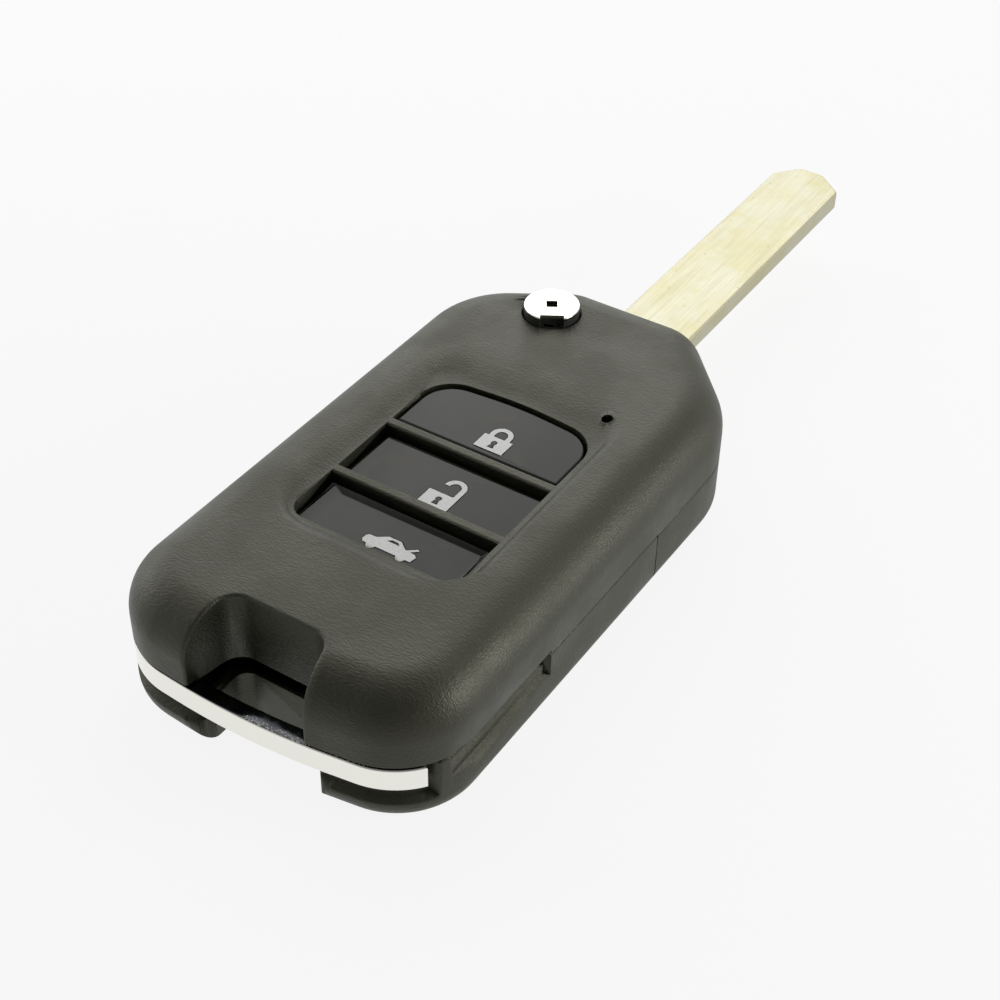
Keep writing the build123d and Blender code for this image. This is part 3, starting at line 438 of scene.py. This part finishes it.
def makeMarkSilver():
    look = markLook
    material, tree, shader = startMaterial("markSilver")
    grit = useGroup(tree, blotches, -4, 1, **look["grit"])
    colour = blendColours(tree, -1, 1, grit.outputs[0], look["dark"], look["pale"])
    tree.links.new(colour, shader.inputs["Base Color"])
    rough = spread(tree, -1, -1, grit.outputs[0], 0, 1, look["roughLow"], look["roughHigh"])
    tree.links.new(rough, shader.inputs["Roughness"])
    setInputs(shader, Metallic=look["metallic"])
    addBump(tree, shader, grit.outputs[0], look["gritDepth"])
    return material


chromeLook = {
    "plate": (0.85, 0.84, 0.78),
    "upper": (0.045, 0.047, 0.052),  # painted dark reflection on the faces that look up
    "upperFrom": 0.7,  # how far up a face looks, from its normal's z
    "upperTo": 0.95,
    "worn": (0.93, 0.92, 0.86),
    "wornRough": 0.7,
    "wornMetallic": 0.2,
    "haze": {"Scale": 500.0, "Low": 0.45, "High": 0.75},
    "scuffs": {"Scale": 5500.0, "Low": 0.5, "High": 0.6},
    "scuffFrom": 0.2,
    "scuffTo": 0.4,
    "scratches": (2500.0, 5000.0, 2500.0),
    "scratchDepth": 0.000001,  # m
    "softEdge": 0.0001,  # m
    "barRough": (0.06, 0.16),  # clear and hazy
    "buttonRough": (0.05, 0.12),
}
scuffBand = {  # along the bent front edge of the bar's upper face, m
    "frontY": -0.03416,
    "middleX": -0.003,  # where the front edge is furthest out
    "bend": 5.4,  # its y rises by this much times the square of the distance from the middle
    "firm": 0.0001,
    "reach": 0.0010,
    "startX": -0.0012,
    "fullX": 0.0004,
}


def bandAlongFront(tree, paintedTopMask):
    # 1 in the band of the scuffs, which lies on the right of the upper face
    place = addNode(tree, "ShaderNodeTexCoord", -12, 4)
    spot = addNode(tree, "ShaderNodeSeparateXYZ", -11, 4)
    tree.links.new(place.outputs["Object"], spot.inputs[0])
    sideways = math(tree, "ADD", -10, 4, spot.outputs["X"], -scuffBand["middleX"])
    squared = math(tree, "MULTIPLY", -9, 4, sideways, sideways)
    bend = math(tree, "MULTIPLY", -8, 4, squared, -scuffBand["bend"])
    inward = math(tree, "ADD", -8, 5, spot.outputs["Y"], -scuffBand["frontY"])
    fromFront = math(tree, "ADD", -7, 4, inward, bend)
    nearFront = spread(tree, -6, 4, fromFront, scuffBand["firm"], scuffBand["reach"], 1, 0)
    toRight = spread(tree, -6, 3, spot.outputs["X"], scuffBand["startX"], scuffBand["fullX"])
    onRight = math(tree, "MULTIPLY", -5, 5, nearFront, toRight)
    return math(tree, "MULTIPLY", -5, 4, onRight, paintedTopMask)


# the third argument is how much painted dark reflection the faces that look up get
def makeChrome(name, roughPair, paintedTopShare):
    look = chromeLook
    material, tree, shader = startMaterial(name)
    haze = useGroup(tree, blotches, -4, 1, **look["haze"])
    specks = useGroup(tree, blotches, -5, 3, **look["scuffs"])
    scratches = useGroup(tree, brushedLines, -4, -3, Stretch=look["scratches"])
    shape = addNode(tree, "ShaderNodeNewGeometry", -6, 5)
    facing = addNode(tree, "ShaderNodeSeparateXYZ", -5, 5)
    tree.links.new(shape.outputs["True Normal"], facing.inputs[0])
    lean = facing.outputs["Z"]
    # painted dark reflection: faces that look up are darkened by their normal's z
    paintedTopMask = spread(tree, -4, 5, lean, look["upperFrom"], look["upperTo"], 0.0, paintedTopShare)
    plateWithPaintedTop = blendColours(tree, -2, 1, paintedTopMask, look["plate"], look["upper"])
    speckled = math(tree, "MULTIPLY", -4, 3, specks.outputs[0], bandAlongFront(tree, paintedTopMask))
    scuffed = spread(tree, -3, 3, speckled, look["scuffFrom"], look["scuffTo"])
    colour = blendColours(tree, -1, 1, scuffed, plateWithPaintedTop, look["worn"])
    tree.links.new(colour, shader.inputs["Base Color"])
    hazy = spread(tree, -2, -1, haze.outputs[0], 0, 1, *roughPair)
    scuffs = math(tree, "MULTIPLY", -2, -2, scuffed, look["wornRough"])
    tree.links.new(math(tree, "MAXIMUM", -1, -1, hazy, scuffs), shader.inputs["Roughness"])
    metallic = spread(tree, -1, 2, scuffed, 0, 1, 1, look["wornMetallic"])
    tree.links.new(metallic, shader.inputs["Metallic"])
    addBump(tree, shader, scratches.outputs[0], look["scratchDepth"], look["softEdge"])
    return material


bladeLook = {
    "pale": (0.46, 0.445, 0.34),
    "tarnish": (0.44, 0.41, 0.25),
    "pit": (0.29, 0.26, 0.15),
    "cloud": {"Scale": 160.0, "Low": 0.38, "High": 0.62},
    "mottles": {"Scale": 700.0, "Low": 0.45, "High": 0.7},
    "pits": {"Spacing": 900.0, "Size": 0.14, "Share": 0.12},
    "cloudShare": 0.75,  # the mottles have the rest
    "pitShare": 0.5,
    "roughLow": 0.34,
    "roughHigh": 0.5,
    "metallic": 0.85,
    "lineDepth": 0.000006,  # m
}


def makeBladeMetal():
    look = bladeLook
    material, tree, shader = startMaterial("bladeMetal")
    cloud = useGroup(tree, blotches, -5, 1, **look["cloud"])
    mottles = useGroup(tree, blotches, -5, 3, **look["mottles"])
    pits = useGroup(tree, dustSpecks, -5, 5, **look["pits"])
    lines = useGroup(tree, brushedLines, -5, -3)
    clouded = math(tree, "MULTIPLY", -4, 1, cloud.outputs[0], look["cloudShare"])
    mottled = math(tree, "MULTIPLY", -4, 3, mottles.outputs[0], 1 - look["cloudShare"])
    stained = math(tree, "ADD", -4, 2, clouded, mottled)
    ground = blendColours(tree, -2, 1, stained, look["pale"], look["tarnish"])
    pitMask = math(tree, "MULTIPLY", -2, 5, pits.outputs[0], look["pitShare"])
    pitted = blendColours(tree, -1, 1, pitMask, ground, look["pit"])
    tree.links.new(pitted, shader.inputs["Base Color"])
    rough = spread(tree, -1, -1, lines.outputs[0], *lineHeights, look["roughLow"], look["roughHigh"])
    tree.links.new(rough, shader.inputs["Roughness"])
    setInputs(shader, Metallic=look["metallic"])
    addBump(tree, shader, lines.outputs[0], look["lineDepth"])
    return material


steelLooks = {
    "satinSteel": {
        "pale": (0.60, 0.60, 0.59),
        "dark": (0.48, 0.47, 0.44),
        "roughLow": 0.26,
        "roughHigh": 0.42,
        "stretch": (5000.0, 300.0, 5000.0),
    },
    "drawnWire": {
        "pale": (0.50, 0.50, 0.49),
        "dark": (0.34, 0.33, 0.31),
        "roughLow": 0.22,
        "roughHigh": 0.38,
        "stretch": (900.0, 900.0, 7000.0),
    },
    "zincedSteel": {
        "pale": (0.52, 0.53, 0.55),
        "dark": (0.38, 0.38, 0.37),
        "roughLow": 0.30,
        "roughHigh": 0.46,
        "stretch": (2500.0, 2500.0, 2500.0),
    },
}
steelStains = {"Scale": 900.0, "Low": 0.4, "High": 0.7}
steelLineDepth = 0.000004  # m


def makeSteel(name):
    look = steelLooks[name]
    material, tree, shader = startMaterial(name)
    stains = useGroup(tree, blotches, -4, 1, **steelStains)
    lines = useGroup(tree, brushedLines, -4, -3, Stretch=look["stretch"])
    colour = blendColours(tree, -1, 1, stains.outputs[0], look["pale"], look["dark"])
    tree.links.new(colour, shader.inputs["Base Color"])
    rough = spread(tree, -1, -1, lines.outputs[0], *lineHeights, look["roughLow"], look["roughHigh"])
    tree.links.new(rough, shader.inputs["Roughness"])
    setInputs(shader, Metallic=1.0)
    addBump(tree, shader, lines.outputs[0], steelLineDepth)
    return material


smoothLooks = {
    "headPlastic": {"dark": (0.016, 0.016, 0.015), "light": (0.024, 0.024, 0.022), "rough": 0.38},
    "framePlastic": {"dark": (0.030, 0.030, 0.030), "light": (0.042, 0.042, 0.040), "rough": 0.45},
    "padRubber": {"dark": (0.022, 0.022, 0.022), "light": (0.032, 0.032, 0.031), "rough": 0.62},
}
smoothSkin = {
    "rubbed": (0.09, 0.09, 0.085),
    "flow": {"Scale": 220.0, "Low": 0.3, "High": 0.7},
    "pores": {"Scale": 5200.0, "Low": 0.2, "High": 0.8},
    "wearShare": 0.5,
    "roughMore": 0.12,
    "poreDepth": 0.000006,  # m
}


def makeSmoothPlastic(name):
    look = smoothLooks[name]
    material, tree, shader = startMaterial(name)
    flow = useGroup(tree, blotches, -4, 1, **smoothSkin["flow"])
    wear = useGroup(tree, edgeWear, -4, 3)
    pores = useGroup(tree, blotches, -4, -3, **smoothSkin["pores"])
    ground = blendColours(tree, -2, 1, flow.outputs[0], look["dark"], look["light"])
    rubbed = math(tree, "MULTIPLY", -2, 3, wear.outputs[0], smoothSkin["wearShare"])
    worn = blendColours(tree, -1, 1, rubbed, ground, smoothSkin["rubbed"])
    tree.links.new(worn, shader.inputs["Base Color"])
    roughest = look["rough"] + smoothSkin["roughMore"]
    rough = spread(tree, -1, -1, flow.outputs[0], 0, 1, look["rough"], roughest)
    tree.links.new(rough, shader.inputs["Roughness"])
    addBump(tree, shader, pores.outputs[0], smoothSkin["poreDepth"])
    return material


finishes = {
    "case_plastic": makeCasePlastic(),
    "key_plastic": makeKeyPlastic(),
    "mark_silver": makeMarkSilver(),
    "bar_chrome": makeChrome("barChrome", chromeLook["barRough"], 1.0),
    "button_chrome": makeChrome("buttonChrome", chromeLook["buttonRough"], 0.0),
    "blade_metal": makeBladeMetal(),
    "steel": makeSteel("satinSteel"),
    "spring_steel": makeSteel("drawnWire"),
    "screw_steel": makeSteel("zincedSteel"),
    "head_plastic": makeSmoothPlastic("headPlastic"),
    "frame_plastic": makeSmoothPlastic("framePlastic"),
    "pad_rubber": makeSmoothPlastic("padRubber"),
}
print("finishes made:", len(finishes))


# Every node: doubles merged, smooth shading, and fine rounding on the edges of the simple pieces.
# Of those with 0, the ones with the case and chrome finishes soften their edges in the shading
# instead.
edgeRounds = {  # mm
    "upper_shell": 0.0,
    "lower_shell": 0.0,
    "rear_cover": 0.0,
    "key_ring_bar": 0.0,
    "flip_head": 0.10,
    "blade": 0.08,
    "blade_pin": 0.04,
    "release_button": 0.05,
    "button_cap": 0.0,
    "pivot_spring": 0.0,
    "spring_plate": 0.05,
    "thrust_washer": 0.05,
    "lock_key": 0.12,
    "unlock_key": 0.12,
    "trunk_key": 0.14,
    "lock_mark": 0.0,
    "unlock_mark": 0.0,
    "trunk_mark": 0.0,
    "key_pad": 0.10,
    "pad_frame": 0.08,
    "chip_tray": 0.08,
    "case_screws": 0.05,
    "cover_screw": 0.05,
}
copyRules = {
    "mergeWithin": 0.000002,  # m
    "flatWithin": radians(0.3),
    "sharpFrom": radians(32),
    "roundSegments": 2,
    "alwaysFlat": ("key_ring_bar",),  # its wide flats are joined too, so that they shade evenly
}


def plainName(node):
    first, *rest = node.split("_")
    return first + "".join(word.capitalize() for word in rest)


def finishNode(node, edgeRound):
    piece = bpy.data.objects.new(plainName(node), nodes[node].data.copy())
    bpy.context.scene.collection.objects.link(piece)
    bpy.context.view_layer.objects.active = piece
    piece.select_set(True)
    bpy.ops.object.mode_set(mode="EDIT")
    bpy.ops.mesh.select_all(action="SELECT")
    bpy.ops.mesh.remove_doubles(threshold=copyRules["mergeWithin"])
    if edgeRound > 0 or node in copyRules["alwaysFlat"]:
        bpy.ops.mesh.dissolve_limited(angle_limit=copyRules["flatWithin"])
    bpy.ops.object.mode_set(mode="OBJECT")
    if edgeRound > 0:
        rounding = piece.modifiers.new("edges", "BEVEL")
        rounding.width = edgeRound * mm
        rounding.segments = copyRules["roundSegments"]
        rounding.limit_method = "ANGLE"
        rounding.angle_limit = copyRules["sharpFrom"]
        rounding.use_clamp_overlap = False
        rounding.miter_outer = "MITER_ARC"
        bpy.ops.object.modifier_apply(modifier=rounding.name)
    bpy.ops.object.shade_smooth_by_angle(angle=copyRules["sharpFrom"])
    weighted = piece.modifiers.new("normals", "WEIGHTED_NORMAL")
    weighted.mode = "FACE_AREA_WITH_ANGLE"
    weighted.keep_sharp = True
    bpy.ops.object.modifier_apply(modifier=weighted.name)
    piece.select_set(False)
    piece.data.materials.clear()
    piece.data.materials.append(finishes[slotOf[node]])
    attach(piece, bodyOf[node])
    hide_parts(node)
    return piece


pieces = {node: finishNode(node, edgeRound) for node, edgeRound in edgeRounds.items()}
for node, piece in pieces.items():
    print("piece", node, len(piece.data.polygons), "faces")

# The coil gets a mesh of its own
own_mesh(pieces["pivot_spring"])


# A plain pale floor, soft lamps and a white surround
studio = {
    "floorSize": 6.0,  # m
    "floorColour": (0.86, 0.86, 0.86),
    "floorWhite": 0.88,  # share of plain white that the camera sees
    "worldDiffuse": 0.24,
    "darkSide": (0.411, -0.647, 0.642),  # where the photographer stands
    "darkFrom": 0.2,
    "darkTo": 0.95,
    "darkLeft": 0.25,  # share of the light that comes from that side
}
lamps = {  # W, m, m
    "farLamp": {"power": 0.28, "size": 0.26, "spot": (-0.13, 0.21, 0.17)},
    "topLamp": {"power": 0.12, "size": 0.30, "spot": (-0.02, 0.18, 0.28)},
    "rightLamp": {"power": 0.42, "size": 0.14, "spot": (0.26, 0.10, 0.08)},
    "leftLamp": {"power": 0.28, "size": 0.26, "spot": (-0.30, 0.02, 0.12)},
}
lampAim = (0, 0, 0.005)  # m


def seenRays(tree, x, y):
    # 1 for camera, mirror and glass rays, 0 for the rays that light things
    path = addNode(tree, "ShaderNodeLightPath", x, y)
    camera, glossy = path.outputs["Is Camera Ray"], path.outputs["Is Glossy Ray"]
    mirrored = math(tree, "MAXIMUM", x + 1, y, camera, glossy)
    return math(tree, "MAXIMUM", x + 2, y, mirrored, path.outputs["Is Transmission Ray"])


def layFloor():
    bpy.ops.mesh.primitive_plane_add(size=studio["floorSize"], location=(0, 0, 0))
    floor = bpy.context.object
    floor.name = "floor"
    floor.select_set(False)
    material = bpy.data.materials.new("paleFloor")
    material.use_nodes = True
    tree = material.node_tree
    tree.nodes.clear()
    matte = addNode(tree, "ShaderNodeBsdfDiffuse", 0, 1)
    matte.inputs["Color"].default_value = (*studio["floorColour"], 1)
    white = addNode(tree, "ShaderNodeEmission", 0, -1)
    mixed = addNode(tree, "ShaderNodeMixShader", 2, 0)
    share = math(tree, "MULTIPLY", 1, 2, seenRays(tree, -3, 2), studio["floorWhite"])
    tree.links.new(share, mixed.inputs[0])
    tree.links.new(matte.outputs[0], mixed.inputs[1])
    tree.links.new(white.outputs[0], mixed.inputs[2])
    output = addNode(tree, "ShaderNodeOutputMaterial", 3, 0)
    tree.links.new(mixed.outputs[0], output.inputs["Surface"])
    floor.data.materials.append(material)


def lightWorld():
    world = bpy.data.worlds.new("studio")
    bpy.context.scene.world = world
    world.use_nodes = True
    tree = world.node_tree
    tree.nodes.clear()
    sky = addNode(tree, "ShaderNodeBackground", 1, 0)
    sky.inputs["Color"].default_value = (1, 1, 1, 1)
    strength = spread(tree, -3, 0, seenRays(tree, -6, 0), 0, 1, studio["worldDiffuse"], 1.0)
    place = addNode(tree, "ShaderNodeTexCoord", -6, 3)
    toSide = addNode(tree, "ShaderNodeVectorMath", -5, 3, operation="DOT_PRODUCT")
    tree.links.new(place.outputs["Generated"], toSide.inputs[0])
    toSide.inputs[1].default_value = studio["darkSide"]
    leaning = toSide.outputs["Value"]
    side = spread(tree, -3, 3, leaning, studio["darkFrom"], studio["darkTo"], 1.0, studio["darkLeft"])
    path = addNode(tree, "ShaderNodeLightPath", -4, 5)
    camera, through = path.outputs["Is Camera Ray"], path.outputs["Is Transmission Ray"]
    shown = math(tree, "MAXIMUM", -2, 5, camera, through)
    shaded = math(tree, "MAXIMUM", -1, 3, side, shown)
    tree.links.new(math(tree, "MULTIPLY", 0, 1, strength, shaded), sky.inputs["Strength"])
    output = addNode(tree, "ShaderNodeOutputWorld", 2, 0)
    tree.links.new(sky.outputs[0], output.inputs["Surface"])


def hangLamp(name, power, size, spot):
    lamp = bpy.data.lights.new(name, "AREA")
    lamp.energy = power
    lamp.size = size
    holder = bpy.data.objects.new(name, lamp)
    bpy.context.scene.collection.objects.link(holder)
    holder.location = spot
    holder.rotation_euler = (Vector(spot) - Vector(lampAim)).to_track_quat("Z", "Y").to_euler()


layFloor()
lightWorld()
for name, lamp in lamps.items():
    hangLamp(name, **lamp)
print("studio lit")
